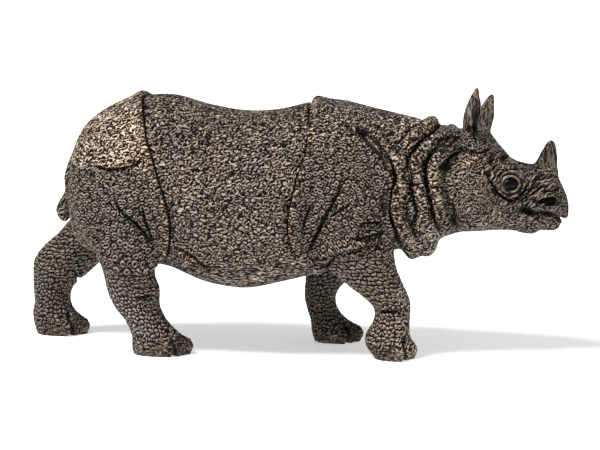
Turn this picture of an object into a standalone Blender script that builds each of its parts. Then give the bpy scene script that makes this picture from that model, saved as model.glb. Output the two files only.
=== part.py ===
"""Walking one-horned rhinoceros, a small moulded figurine cast in one piece.

Metres, +Z up. The figure walks towards +X and stands with its soles on Z = 0.
The origin is under the middle of its bounding box. The near side is -Y.
The masses of the animal are lofts and ellipsoids, fused into one skin, and the
folds of its hide are carved into that skin along curves that lie on it.
"""

import math

import bmesh
import bpy
import numpy as np
from mathutils import Matrix, Vector
from mathutils.bvhtree import BVHTree
from mathutils.kdtree import KDTree

# Driving dimensions
FIGURE_LENGTH = 0.150  # hind toes to upper lip
HORN_HEIGHT = 0.0092  # above its foot, which is sunk in the nose
HORN_WIDTH = 0.0064
NEAR_EAR_LENGTH = 0.0136
FAR_EAR_LENGTH = 0.0108
EAR_WALL = 0.0009
TAIL_WIDTH = 0.0034
EYE_DIAMETER = 0.0030
FOLD_RELIEF = 0.0011  # rise of the strongest fold over the hide
MOST_TRIANGLES = 9600

# One millimetre of the figure as its tables are drawn
DRAWN_LENGTH = 151.4
MM = FIGURE_LENGTH / DRAWN_LENGTH
SKIN_CELL = 0.6 * MM  # grid on which the masses are fused

# Trunk and neck, from the tail to behind the ears:
# along, top, height of the widest point, underside, half width
TRUNK = [
    (-62.9, 49.5, 42.0, 33.5, 8.0),
    (-60.8, 58.4, 42.5, 28.0, 14.5),
    (-56.2, 64.0, 43.0, 25.6, 18.5),
    (-48.0, 68.5, 43.0, 24.0, 21.5),
    (-41.0, 69.6, 42.0, 23.4, 22.8),
    (-34.0, 69.6, 40.0, 22.0, 23.2),
    (-25.0, 67.0, 38.0, 18.2, 24.0),
    (-14.0, 65.5, 37.0, 16.7, 24.4),
    (-5.0, 66.2, 37.5, 18.5, 24.0),
    (3.0, 68.3, 39.5, 20.5, 22.8),
    (11.0, 69.0, 41.5, 22.5, 21.8),
    (19.0, 67.1, 43.5, 25.0, 20.4),
    (28.0, 65.1, 45.0, 28.5, 18.0),
    (36.0, 63.3, 46.0, 30.5, 15.8),
    (43.0, 61.6, 46.5, 32.8, 13.6),
    (48.0, 60.5, 47.0, 34.5, 12.0),
]

# Head, from the nape to the upper lip, in the same terms
HEAD = [
    (40.0, 59.0, 46.0, 34.5, 11.5),
    (44.0, 61.2, 46.0, 33.4, 12.8),
    (48.0, 62.2, 45.5, 33.4, 13.4),
    (51.5, 61.2, 45.0, 33.7, 12.8),
    (54.5, 57.3, 44.5, 34.0, 11.2),
    (57.5, 53.8, 44.5, 34.0, 9.8),
    (61.0, 52.5, 44.0, 33.6, 8.6),
    (65.0, 52.0, 42.5, 33.6, 7.3),
    (68.4, 50.8, 41.8, 34.6, 6.5),
    (71.4, 47.4, 41.4, 37.4, 5.0),
    (73.5, 43.0, 40.6, 38.2, 2.7),
]

# Legs, from the sole up into the trunk:
# height, centre along, centre across, half length, half width
NEAR_HIND_LEG = [
    (0.0, -36.4, -13.5, 7.9, 6.6),
    (2.0, -36.3, -13.5, 8.2, 6.9),
    (4.2, -36.8, -13.4, 7.3, 6.4),
    (6.4, -38.5, -13.3, 6.4, 5.8),
    (8.8, -40.2, -13.2, 5.9, 5.5),
    (13.0, -43.0, -13.2, 6.5, 5.8),
    (17.4, -43.8, -13.2, 7.5, 6.3),
    (21.0, -44.8, -13.3, 7.1, 6.8),
    (25.0, -45.2, -13.6, 7.8, 8.0),
    (30.0, -45.2, -13.4, 10.4, 9.4),
    (36.0, -46.8, -12.9, 12.8, 10.2),
    (44.0, -48.5, -11.8, 12.8, 10.6),
    (52.0, -50.0, -10.0, 10.0, 9.0),
]
FAR_HIND_LEG = [
    (0.0, -70.1, 13.0, 6.9, 6.2),
    (2.1, -69.7, 13.0, 7.5, 6.6),
    (4.3, -70.5, 13.0, 7.3, 6.4),
    (6.5, -71.8, 13.0, 6.2, 5.9),
    (8.8, -72.0, 13.0, 5.1, 5.2),
    (11.0, -72.1, 13.0, 5.3, 5.3),
    (14.0, -71.7, 13.0, 6.0, 5.6),
    (17.6, -69.4, 13.0, 8.2, 6.1),
    (20.5, -67.8, 13.0, 9.8, 6.8),
    (24.3, -64.8, 13.0, 10.4, 7.8),
    (28.5, -60.2, 12.8, 10.2, 8.8),
    (34.0, -55.0, 12.6, 11.0, 9.6),
    (42.0, -52.0, 11.8, 11.5, 10.2),
    (50.0, -50.0, 10.0, 10.0, 9.0),
]
NEAR_FORELEG = [
    (0.0, 27.6, -11.5, 5.2, 6.2),
    (2.0, 26.8, -11.5, 6.3, 6.8),
    (4.0, 26.0, -11.5, 6.7, 6.8),
    (6.5, 25.6, -11.5, 6.2, 6.3),
    (9.0, 26.5, -11.5, 5.3, 5.6),
    (12.4, 27.2, -11.4, 4.9, 5.2),
    (15.0, 26.5, -11.4, 5.6, 5.6),
    (17.0, 25.0, -11.4, 6.6, 6.0),
    (20.0, 22.2, -11.4, 7.9, 6.6),
    (24.0, 19.1, -11.4, 9.2, 7.4),
    (28.0, 16.6, -11.8, 11.0, 8.6),
    (34.0, 14.5, -11.6, 12.4, 9.6),
    (42.0, 12.5, -10.8, 13.0, 9.8),
    (50.0, 11.5, -9.5, 11.0, 9.0),
]
FAR_FORELEG = [
    (0.0, 8.6, 12.0, 6.3, 6.0),
    (2.0, 8.6, 12.0, 6.9, 6.5),
    (4.2, 8.0, 12.0, 6.4, 6.2),
    (6.4, 6.3, 12.0, 5.0, 5.6),
    (8.6, 4.9, 12.0, 4.5, 5.2),
    (11.0, 4.2, 12.0, 4.4, 5.2),
    (13.5, 4.2, 12.0, 4.6, 5.6),
    (16.0, 5.3, 12.0, 5.5, 6.2),
    (20.0, 7.5, 12.0, 7.4, 7.0),
    (25.0, 9.5, 12.0, 9.4, 8.2),
    (31.0, 11.0, 11.6, 11.5, 9.2),
    (38.0, 12.0, 11.2, 12.5, 9.8),
    (46.0, 12.0, 10.0, 11.5, 9.2),
]
LEGS = [NEAR_HIND_LEG, FAR_HIND_LEG, NEAR_FORELEG, FAR_FORELEG]

# Soft bulges as centre and radii: on both sides, given for the far one, then on one side only
PAIRED_BULGES = [
    ((48.4, 9.0, 41.6), (6.4, 5.2, 7.0)),  # jaw muscle
    ((46.8, 9.3, 53.4), (4.4, 3.8, 3.8)),  # temple
    ((58.4, 6.2, 50.4), (3.6, 2.6, 1.9)),  # brow
    ((58.8, 7.2, 47.4), (3.4, 2.1, 3.2)),  # eye socket
    ((68.8, 4.3, 43.6), (3.0, 2.5, 2.6)),  # nostril wing
]
MIDDLE_BULGES = [
    ((35.4, 0.0, 32.4), (3.1, 8.4, 6.6)),  # throat, front lobe
    ((31.3, 0.0, 31.8), (3.2, 8.8, 6.8)),  # throat, rear lobe
    ((71.9, 0.0, 39.3), (1.8, 3.0, 2.9)),  # upper lip
    ((67.2, 0.0, 36.4), (4.2, 4.6, 2.6)),  # lower lip
    ((63.5, 0.0, 35.3), (5.2, 5.4, 2.4)),  # chin
]
NEAR_BULGES = [
    ((14.5, -14.2, 43.5), (11.5, 9.8, 14.0)),  # shoulder
    ((6.8, -14.2, 25.6), (3.0, 4.6, 3.0)),  # elbow
    ((-38.2, -13.6, 17.8), (1.9, 4.2, 2.2)),  # knee
]
FAR_BULGES = [
    ((13.0, 14.2, 43.5), (11.5, 9.8, 14.0)),  # shoulder
    ((0.8, 14.2, 26.0), (3.0, 4.6, 3.2)),  # elbow
]

# Horn: share of its height, centre along, share of its width, share of that across
HORN_FOOT = 49.6
HORN = [
    (-0.25, 66.8, 1.28, 0.90),
    (0.0, 67.0, 1.18, 0.88),
    (0.3, 67.4, 0.96, 0.88),
    (0.6, 68.1, 0.75, 0.90),
    (0.82, 68.5, 0.53, 0.94),
    (0.94, 68.6, 0.40, 1.0),
    (1.0, 68.6, 0.20, 1.0),
]

# Ear: share of its length, radius of the cup, half angle of its opening in degrees
EAR = [
    (-0.12, 2.1, 16),
    (0.0, 2.4, 22),
    (0.22, 2.7, 40),
    (0.45, 2.75, 50),
    (0.68, 2.15, 58),
    (0.86, 1.4, 62),
    (1.0, 0.6, 64),
]
EAR_POINTS = 12
# Root, direction of the tip and direction that the cup opens to
NEAR_EAR = ((47.3, -7.0, 60.6), (0.17, -0.13, 1.0), (0.86, -0.5, 0.0))
FAR_EAR = ((49.5, 6.4, 60.2), (0.28, 0.22, 1.0), (0.86, 0.5, 0.0))

# Tail, hanging against the rump: height, centre along and across, shares of its width
TAIL = [
    (57.0, -59.8, 0.0, 1.15, 1.55),
    (50.0, -63.0, 0.0, 0.95, 1.2),
    (45.6, -64.2, 0.0, 1.0, 1.1),
    (42.6, -64.0, -0.1, 0.8, 0.9),
    (40.0, -64.9, -0.3, 1.2, 1.1),
    (37.2, -65.8, -0.6, 1.4, 1.2),
    (35.0, -65.6, -0.8, 1.1, 0.9),
    (33.6, -65.4, -0.8, 0.5, 0.4),
]

# Toes: three round the front of each foot, at these angles from straight ahead
TOE_ANGLES = [math.radians(angle) for angle in (-58, 0, 58)]
TOE_RADII = (3.0, 2.7, 2.7)
TOE_HEIGHT = 2.3
TOE_CREASE_ANGLES = [math.radians(angle) for angle in (-29, 29)]
TOE_CREASE_HEIGHTS = (0.2, 1.6, 3.0, 4.6)
TOE_CREASE = 0.75  # share of FOLD_RELIEF
TOE_INSET = 1.9  # of a toe's centre from the edge of the foot
SOLE_ROW = 1  # the row of a leg that the toes stand round
SOLE_CUT = 0.45  # below this height the feet are pressed flat

# Folds of the hide: guide points (along, height), seen from the side
RUMP_RIDGE = [
    (-42.9, 69.4), (-42.6, 68.6), (-41.1, 65.6), (-39.6, 61.0), (-38.3, 57.3), (-36.6, 52.6),
    (-35.0, 47.9), (-33.6, 44.0), (-32.5, 40.0), (-32.2, 35.6), (-32.6, 31.5), (-34.1, 27.7),
    (-36.5, 25.3),
]
SHOULDER_RIDGE = [
    (4.1, 67.8), (5.0, 63.1), (4.8, 59.1), (4.4, 55.2), (2.9, 51.2), (1.7, 45.9), (0.8, 41.8),
    (0.4, 38.5), (0.4, 34.9), (0.9, 32.1), (1.8, 29.4), (3.5, 28.1),
]
SHOULDER_LOWER_EDGE = [
    (5.7, 27.7), (10.3, 29.0), (13.1, 30.1), (16.9, 31.0), (21.9, 32.4), (25.5, 33.3), (27.3, 34.7),
]
SHOULDER_FRONT = [
    (19.2, 61.6), (22.9, 58.6), (25.2, 56.6), (26.9, 53.7), (27.5, 51.1), (27.4, 48.0),
    (27.1, 45.8), (26.6, 41.6), (27.0, 38.1), (27.5, 35.8), (27.6, 32.0),
]
LOBE_FRONT = [(3.9, 28.6), (5.2, 30.0), (7.8, 35.0), (9.4, 38.5), (12.4, 43.9), (15.1, 49.7)]
LOBE_INNER = [(6.9, 43.8), (5.0, 39.8), (4.0, 35.2)]
ELBOW_FRONT = [(12.6, 29.2), (9.7, 25.0), (8.6, 20.4)]
SHOULDER_CREASES = [
    [(10.1, 39.4), (12.4, 40.6), (15.1, 42.2), (17.9, 44.1)],
    [(18.7, 38.2), (22.1, 38.0), (25.7, 37.9)],
    [(17.1, 33.1), (20.3, 34.1), (23.6, 34.9), (26.4, 36.1)],
]
NAPE_WELT = [(36.0, 62.9), (35.0, 62.2), (33.3, 61.1), (31.5, 58.9), (29.1, 56.5)]
FIRST_WELT = [
    (18.6, 64.0), (20.7, 62.3), (22.8, 60.1), (26.2, 56.5), (29.4, 53.0), (30.9, 49.5),
    (29.9, 47.4), (28.8, 45.8), (28.0, 43.0), (28.6, 40.1), (29.7, 37.2), (30.6, 34.1), (31.1, 30.5),
]
SECOND_WELT = [
    (42.7, 61.0), (40.9, 60.3), (38.3, 58.8), (35.6, 56.9), (33.9, 54.7), (33.5, 51.6),
    (34.3, 48.4), (35.2, 44.9), (36.2, 41.3), (35.6, 38.4), (34.3, 35.5),
]
CHEEK_WELT = [
    (44.9, 59.5), (42.5, 57.9), (39.8, 55.8), (38.5, 53.5), (38.2, 51.0), (38.8, 47.2),
    (39.5, 43.4), (40.3, 39.7), (41.4, 36.4), (42.5, 34.6),
]
JAW_CREASE = [(42.7, 41.9), (43.1, 39.0), (43.2, 36.9)]
TEMPLE_CREASE = [(47.6, 50.0), (50.0, 52.8), (51.6, 55.2), (51.8, 57.6)]
CHEEK_CREASE = [(50.6, 55.4), (52.4, 52.4), (53.2, 49.4), (54.6, 46.6), (57.0, 44.2), (60.2, 43.4)]
BROW = [(54.7, 49.9), (56.2, 50.6), (58.5, 50.8), (60.7, 49.5)]
RUMP_CROSS = [
    (-54.4, 52.5), (-51.8, 51.8), (-49.1, 51.5), (-46.2, 51.8), (-43.2, 52.5), (-40.7, 53.6),
    (-38.4, 54.5),
]
THIGH_FOLDS = [
    [(-47.3, 44.2), (-46.2, 41.5), (-44.6, 39.4), (-43.0, 38.0), (-40.9, 36.4), (-38.6, 33.3),
     (-36.8, 30.1)],
    [(-39.5, 42.8), (-39.1, 39.2), (-37.9, 35.1), (-36.7, 30.5)],
    [(-54.6, 35.9), (-53.0, 32.7), (-51.1, 30.4)],
]
THIGH_LOWER_EDGE = [
    (-49.3, 25.0), (-46.8, 23.5), (-43.0, 22.7), (-39.7, 23.3), (-37.7, 23.9), (-36.5, 25.3),
]
FAR_THIGH_LOWER_EDGE = [(-72.0, 24.5), (-69.0, 24.0), (-64.5, 23.4), (-60.0, 24.4), (-56.5, 26.6)]
KNEE_CREASE = [(-43.5, 15.9), (-39.9, 16.1), (-37.0, 16.7)]
FAR_KNEE_CREASE = [(-70.0, 15.2), (-66.0, 15.0), (-62.6, 16.4)]
WRIST_CREASE = [(23.0, 13.8), (26.5, 13.4), (30.5, 14.2)]
FAR_WRIST_CREASE = [(1.0, 12.2), (4.5, 11.8), (8.4, 12.4)]
GROIN_FLAP = [(-32.2, 30.1), (-29.8, 28.7), (-27.1, 27.1), (-24.6, 24.8), (-21.5, 23.0)]
MOUTH = [(61.2, 40.4), (64.0, 39.4), (66.2, 38.8), (68.8, 38.4), (71.4, 37.0)]
HORN_SEAM = [(63.9, 51.9), (65.4, 50.2), (67.8, 49.2), (70.6, 48.9)]

# Directions in which a fold is raised, and where it runs
FRONT, REAR, UP = (1, 0, 0), (-1, 0, 0), (0, 0, 1)
NEAR, FAR = -1, 1
EACH_SIDE, OVER_THE_BACK = "each side", "over the back"

# Profile, share of FOLD_RELIEF, width, raised side, where it runs, guide points
FOLDS = [
    ("plate", 0.90, 1.0, REAR, OVER_THE_BACK, RUMP_RIDGE),
    ("plate", 1.00, 1.1, FRONT, OVER_THE_BACK, SHOULDER_RIDGE),
    ("plate", 0.95, 1.1, UP, EACH_SIDE, SHOULDER_LOWER_EDGE),
    ("plate", 0.90, 1.1, REAR, EACH_SIDE, SHOULDER_FRONT),
    ("roll", 1.00, 1.5, FRONT, OVER_THE_BACK, NAPE_WELT),
    ("roll", 1.15, 1.5, FRONT, EACH_SIDE, FIRST_WELT),
    ("roll", 1.15, 1.5, FRONT, EACH_SIDE, SECOND_WELT),
    ("roll", 1.40, 1.5, FRONT, EACH_SIDE, CHEEK_WELT),
    ("crease", 0.75, 0.7, FRONT, EACH_SIDE, LOBE_FRONT),
    ("crease", 0.60, 0.7, FRONT, EACH_SIDE, LOBE_INNER),
    ("crease", 0.65, 0.7, FRONT, EACH_SIDE, ELBOW_FRONT),
    ("crease", 0.80, 0.7, FRONT, EACH_SIDE, JAW_CREASE),
    ("crease", 0.60, 0.7, FRONT, EACH_SIDE, TEMPLE_CREASE),
    ("crease", 0.60, 0.7, FRONT, EACH_SIDE, CHEEK_CREASE),
    ("roll", 0.50, 0.8, UP, EACH_SIDE, BROW),
    ("plate", 0.70, 0.9, UP, EACH_SIDE, RUMP_CROSS),
    ("plate", 0.80, 0.9, UP, NEAR, THIGH_LOWER_EDGE),
    ("plate", 0.80, 0.9, UP, FAR, FAR_THIGH_LOWER_EDGE),
    ("crease", 0.60, 0.7, UP, NEAR, KNEE_CREASE),
    ("crease", 0.60, 0.7, UP, FAR, FAR_KNEE_CREASE),
    ("crease", 0.50, 0.7, UP, NEAR, WRIST_CREASE),
    ("crease", 0.50, 0.7, UP, FAR, FAR_WRIST_CREASE),
    ("roll", 0.70, 1.2, UP, EACH_SIDE, GROIN_FLAP),
    ("crease", 1.00, 0.6, UP, EACH_SIDE, MOUTH),
    ("crease", 0.45, 0.6, UP, EACH_SIDE, HORN_SEAM),
]
FOLDS += [("crease", 0.55, 0.7, UP, EACH_SIDE, crease) for crease in SHOULDER_CREASES]
FOLDS += [("crease", 0.60, 0.7, FRONT, NEAR, fold) for fold in THIGH_FOLDS]
FOLD_TAPER = 4.0  # length over which a fold fades out at its ends
FOLD_REACH = 7.0  # beyond this distance a fold moves nothing

# Small round forms: centre (along, height), radii, rise, all on each side
EYE = (58.9, 47.6)
EYELID_WIDTH = 0.75
NOSTRIL = ((69.4, 43.0), (2.1, 1.2), -1.7)
TEMPLE_PIT = ((42.6, 52.6), (2.0, 1.6), -0.8)
SHOULDER_PIT = ((19.4, 61.4), (1.8, 1.6), -0.8)

HIDE_COLOUR = (0.105, 0.082, 0.064, 1.0)
HIDE_ROUGHNESS = 0.62

RING_POINTS = 32
RING_SPACING = 1.6 * MM  # between interpolated rings of a loft


def catmull_rom(rows, spacing):
    """The rows as one smooth curve through all of them, a point about every spacing."""
    rows = np.array(rows, float)
    padded = np.vstack([2 * rows[0] - rows[1], rows, 2 * rows[-1] - rows[-2]])
    points = []
    for a, b, c, d in zip(padded, padded[1:], padded[2:], padded[3:]):
        steps = max(1, round(float(np.linalg.norm(c[:3] - b[:3])) / spacing))
        for t in np.arange(steps) / steps:
            points.append(
                0.5
                * (
                    2 * b
                    + (c - a) * t
                    + (2 * a - 5 * b + 4 * c - d) * t * t
                    + (3 * b - a - 3 * c + d) * t**3
                )
            )
    points.append(rows[-1])
    return np.array(points)


def mesh_of_rings(rings):
    """A closed bmesh through rings of equally many points, with a flat cap at each end."""
    bm = bmesh.new()
    loops = [[bm.verts.new(p) for p in ring] for ring in rings]
    for lower, upper in zip(loops, loops[1:]):
        for i in range(len(lower)):
            j = (i + 1) % len(lower)
            bm.faces.new((lower[i], lower[j], upper[j], upper[i]))
    bm.faces.new(reversed(loops[0]))
    bm.faces.new(loops[-1])
    bmesh.ops.recalc_face_normals(bm, faces=bm.faces)
    return bm


def upright_ring(along, top, widest, underside, half_width, squareness=0.92):
    """A section across the animal: round above its widest point and below it."""
    angles = np.arange(RING_POINTS) / RING_POINTS * 2 * math.pi
    across, up = np.cos(angles), np.sin(angles)
    across = np.sign(across) * np.abs(across) ** squareness
    up = np.sign(up) * np.abs(up) ** squareness
    height = np.where(up > 0, top - widest, widest - underside)
    return np.column_stack(
        [np.full(RING_POINTS, along), half_width * across, widest + height * up]
    )


def level_ring(height, along, across, half_length, half_width):
    """A level section through a leg."""
    angles = np.arange(RING_POINTS) / RING_POINTS * 2 * math.pi
    return np.column_stack(
        [
            along + half_length * np.cos(angles),
            across + half_width * np.sin(angles),
            np.full(RING_POINTS, height),
        ]
    )


def loft(stations, ring):
    """A closed loft through the stations, each turned into a ring by the function given."""
    rows = catmull_rom(np.array(stations) * MM, RING_SPACING)
    return mesh_of_rings([ring(*row) for row in rows])


def ellipsoid(centre, radii, turn=Matrix.Identity(3)):
    """An ellipsoid with its radii along the turned axes."""
    bm = bmesh.new()
    place = (
        Matrix.Translation(Vector(centre) * MM)
        @ turn.to_4x4()
        @ Matrix.Diagonal((*(Vector(radii) * MM), 1.0))
    )
    bmesh.ops.create_uvsphere(
        bm, u_segments=24, v_segments=16, radius=1.0, matrix=place
    )
    return bm


def bulges():
    """The muscles, lips and joints that swell out of the lofts."""
    placed = MIDDLE_BULGES + NEAR_BULGES + FAR_BULGES + PAIRED_BULGES
    placed += [((x, -y, z), radii) for (x, y, z), radii in PAIRED_BULGES]
    return [ellipsoid(centre, radii) for centre, radii in placed]


def horn():
    """The single horn, which leans back at its foot and stands nearly upright."""
    rows = [
        (
            HORN_FOOT * MM + share * HORN_HEIGHT,
            along * MM,
            0.0,
            wide * HORN_WIDTH / 2,
            wide * across * HORN_WIDTH / 2,
        )
        for share, along, wide, across in HORN
    ]
    return mesh_of_rings([level_ring(*row) for row in rows])


def ear(place, length):
    """A leaf-shaped cup, round at its root and open along one side."""
    root, axis, opens = (Vector(v) for v in place)
    axis.normalize()
    front = (opens - axis * axis.dot(opens)).normalized()
    side = axis.cross(front)
    rings = []
    for share, radius, opening in EAR:
        centre = root * MM + axis * length * share
        inner = max(radius * MM - EAR_WALL, 0.3 * radius * MM)
        gap = math.radians(opening)
        sweep = np.linspace(gap, 2 * math.pi - gap, EAR_POINTS)
        ring = [(radius * MM, angle) for angle in sweep]
        ring += [(inner, angle) for angle in reversed(sweep)]
        rings.append(
            [centre + (front * math.cos(a) + side * math.sin(a)) * r for r, a in ring]
        )
    return mesh_of_rings(rings)


def tail():
    """The tail with its flat tuft."""
    rows = [
        (height * MM, along * MM, across * MM, wide * TAIL_WIDTH / 2, deep * TAIL_WIDTH / 2)
        for height, along, across, wide, deep in TAIL
    ]
    return mesh_of_rings([level_ring(*row) for row in catmull_rom(rows, RING_SPACING)])


def toes(leg):
    """The three blunt toes round the front of a foot."""
    _, along, across, half_length, half_width = leg[SOLE_ROW]
    shapes = []
    for angle in TOE_ANGLES:
        centre = (
            along + (half_length - TOE_INSET) * math.cos(angle),
            across + (half_width - TOE_INSET) * math.sin(angle),
            TOE_HEIGHT,
        )
        shapes.append(ellipsoid(centre, TOE_RADII, Matrix.Rotation(angle, 3, "Z")))
    return shapes


def fused(shapes, cell, smoothing):
    """One skin round the overlapping shapes, with soft joins."""
    mesh = bpy.data.meshes.new("masses")
    whole = bmesh.new()
    for shape in shapes:
        shape.to_mesh(mesh)
        whole.from_mesh(mesh)
        shape.free()
    whole.to_mesh(mesh)
    whole.free()
    bulk = bpy.data.objects.new("bulk", mesh)
    bpy.context.scene.collection.objects.link(bulk)
    skin = bulk.modifiers.new("skin", "REMESH")
    skin.mode = "VOXEL"
    skin.voxel_size = cell
    soften = bulk.modifiers.new("soften", "SMOOTH")
    soften.factor = 0.5
    soften.iterations = smoothing
    return evaluated_mesh(bulk)


def evaluated_mesh(bulk):
    """The object's mesh with its modifiers carried out. The object is removed."""
    bpy.context.view_layer.update()
    graph = bpy.context.evaluated_depsgraph_get()
    made = bpy.data.meshes.new_from_object(bulk.evaluated_get(graph))
    bpy.data.objects.remove(bulk)
    return made


def body_skin():
    """The whole animal, smooth, before its folds."""
    masses = [loft(TRUNK, upright_ring), loft(HEAD, upright_ring)]
    masses += [loft(leg, level_ring) for leg in LEGS]
    smooth = bmesh.new()
    smooth.from_mesh(fused(masses + bulges(), SKIN_CELL, 12))
    shapes = [smooth, horn(), tail()]
    shapes += [ear(NEAR_EAR, NEAR_EAR_LENGTH), ear(FAR_EAR, FAR_EAR_LENGTH)]
    for leg in LEGS:
        shapes += toes(leg)
    return fused(shapes, SKIN_CELL, 3)


def smoothstep(value):
    """0 below 0, 1 above 1 and a soft rise between."""
    value = np.clip(value, 0.0, 1.0)
    return value * value * (3 - 2 * value)


def bell(distance, width):
    return np.exp(-((distance / width) ** 2))


def plate(offset, width):
    """The raised lip of an armour plate, which falls into a groove at its edge."""
    lip = np.where(offset > 0.9 * width, 2.4 * width, 0.6 * width)
    return bell(offset - 0.9 * width, lip) - 0.75 * bell(offset + 0.5 * width, 0.6 * width)


def roll(offset, width):
    """A round welt of skin between two grooves."""
    groove = bell(np.abs(offset) - 1.35 * width, 0.42 * width)
    return bell(offset, 0.95 * width) - 0.55 * groove


def crease(offset, width):
    """A narrow groove between slightly swollen banks."""
    return 0.3 * bell(np.abs(offset) - 2 * width, width) - bell(offset, width)


PROFILES = {"plate": plate, "roll": roll, "crease": crease}


def on_skin(tree, guide, side):
    """The guide points, moved sideways onto the skin of one side."""
    points = []
    for along, height in guide:
        outside = Vector((along * MM, side * FIGURE_LENGTH, height * MM))
        hit = tree.ray_cast(outside, Vector((0, -side, 0)))[0]
        if hit is None:
            hit = tree.find_nearest(Vector((along * MM, 0, height * MM)))[0]
        points.append(hit)
    return points


def fold_courses(tree, guide, where):
    """The curves on the skin that a fold follows, one for each of its runs."""
    if where == OVER_THE_BACK:
        return [on_skin(tree, guide, FAR)[::-1] + on_skin(tree, guide, NEAR)]
    sides = [NEAR, FAR] if where == EACH_SIDE else [where]
    return [on_skin(tree, guide, side) for side in sides]


def toe_courses(tree, leg):
    """The curves between the toes of a foot, from the sole up."""
    _, along, across, half_length, half_width = leg[SOLE_ROW]
    courses = []
    for angle in TOE_CREASE_ANGLES:
        x = along + half_length * math.cos(angle)
        y = across + half_width * math.sin(angle)
        rises = [Vector((x, y, z)) * MM for z in TOE_CREASE_HEIGHTS]
        courses.append([tree.find_nearest(point)[0] for point in rises])
    return courses


def carve(points, normals, tree, course, profile, rise, width, raised):
    """How far a fold along the course moves each point along its normal."""
    course = catmull_rom(course, 0.5 * MM)
    nearest = [tree.find_nearest(Vector(p)) for p in course]
    course = np.array([hit[0] for hit in nearest])
    facing = np.array([hit[1] for hit in nearest])
    tangent = np.gradient(course, axis=0)
    tangent /= np.linalg.norm(tangent, axis=1)[:, None]
    lateral = np.cross(tangent, facing)
    lateral /= np.linalg.norm(lateral, axis=1)[:, None]
    if (lateral @ np.array(raised)).sum() < 0:
        lateral = -lateral
    travelled = np.concatenate(
        [[0.0], np.cumsum(np.linalg.norm(np.diff(course, axis=0), axis=1))]
    )
    ends = np.minimum(travelled, travelled[-1] - travelled)
    strength = smoothstep(ends / (FOLD_TAPER * MM))

    finder = KDTree(len(course))
    for index, place in enumerate(course):
        finder.insert(place, index)
    finder.balance()
    reach = FOLD_REACH * MM
    low, high = course.min(axis=0) - reach, course.max(axis=0) + reach
    close = np.where(((points > low) & (points < high)).all(axis=1))[0]
    moved = np.zeros(len(points))
    found = [finder.find(points[i]) for i in close]
    index = np.array([hit[1] for hit in found])
    distance = np.array([hit[2] for hit in found])
    offset = ((points[close] - course[index]) * lateral[index]).sum(axis=1)
    agrees = smoothstep((normals[close] * facing[index]).sum(axis=1) / 0.5)
    fade = smoothstep((reach - distance) / (0.5 * reach))
    moved[close] = profile(offset, width) * rise * strength[index] * agrees * fade
    return moved


def dome(points, normals, tree, centre, radii, rise, side):
    """A round boss, or a pit where the rise is negative, seen from the side."""
    place = on_skin(tree, [centre], side)[0]
    away = (points - np.array(place)) / MM
    share = np.hypot(away[:, 0] / radii[0], away[:, 2] / radii[1])
    share = np.where(np.abs(away[:, 1]) < 4.0, share, 9.0)
    facing = smoothstep(normals[:, 1] * side / 0.4)
    return rise * MM * bell(share, 0.75) * facing


def eye(points, normals, tree, side):
    """An eyeball in a ring of eyelid."""
    place = on_skin(tree, [EYE], side)[0]
    away = points - np.array(place)
    radius = np.hypot(away[:, 0], away[:, 2])
    ball = EYE_DIAMETER / 2
    lid = EYELID_WIDTH * MM
    form = 0.5 * bell(radius, 0.7 * ball) - 0.55 * bell(radius - ball, 0.4 * lid)
    form += 0.6 * bell(radius - ball - lid, 0.7 * lid)
    form -= 0.35 * bell(radius - ball - 2.6 * lid, 0.6 * lid)
    near = np.abs(away[:, 1]) < 4 * MM
    return form * MM * near * smoothstep(normals[:, 1] * side / 0.4)


def fold(mesh):
    """Carves the folds and the small forms of the head into the skin."""
    whole = bmesh.new()
    whole.from_mesh(mesh)
    tree = BVHTree.FromBMesh(whole)
    whole.free()
    count = len(mesh.vertices)
    points = np.empty(count * 3)
    mesh.vertices.foreach_get("co", points)
    points = points.reshape(-1, 3)
    normals = np.empty(count * 3)
    mesh.vertex_normals.foreach_get("vector", normals)
    normals = normals.reshape(-1, 3)
    moved = np.zeros(count)
    for profile, share, width, raised, where, guide in FOLDS:
        for course in fold_courses(tree, guide, where):
            moved += carve(
                points, normals, tree, course, PROFILES[profile],
                share * FOLD_RELIEF, width * MM, raised,
            )
    for leg in LEGS:
        for course in toe_courses(tree, leg):
            moved += carve(
                points, normals, tree, course, crease,
                TOE_CREASE * FOLD_RELIEF, 0.6 * MM, UP,
            )
    for side in (NEAR, FAR):
        moved += eye(points, normals, tree, side)
        for centre, radii, rise in (NOSTRIL, TEMPLE_PIT, SHOULDER_PIT):
            moved += dome(points, normals, tree, centre, radii, rise, side)
    points += normals * moved[:, None]
    points[points[:, 2] < SOLE_CUT * MM, 2] = 0.0
    mesh.vertices.foreach_set("co", points.ravel())
    mesh.update()


def faceted(mesh):
    """The skin with few enough triangles for a solid, its soles flat."""
    bulk = bpy.data.objects.new("bulk", mesh)
    bpy.context.scene.collection.objects.link(bulk)
    mesh.calc_loop_triangles()
    settle = bulk.modifiers.new("settle", "SMOOTH")
    settle.factor = 0.5
    settle.iterations = 1
    thin = bulk.modifiers.new("thin", "DECIMATE")
    thin.decimate_type = "COLLAPSE"
    thin.use_collapse_triangulate = True
    thin.ratio = MOST_TRIANGLES / len(mesh.loop_triangles)
    return evaluated_mesh(bulk)


def stand_at_origin(mesh):
    """Moves the middle of the bounding box over the origin, with the soles on Z = 0."""
    points = np.empty(len(mesh.vertices) * 3)
    mesh.vertices.foreach_get("co", points)
    points = points.reshape(-1, 3)
    points[points[:, 2] < 0.05 * MM, 2] = 0.0
    middle = (points.min(axis=0) + points.max(axis=0)) / 2
    points[:, :2] -= middle[:2]
    mesh.vertices.foreach_set("co", points.ravel())
    mesh.update()


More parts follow.
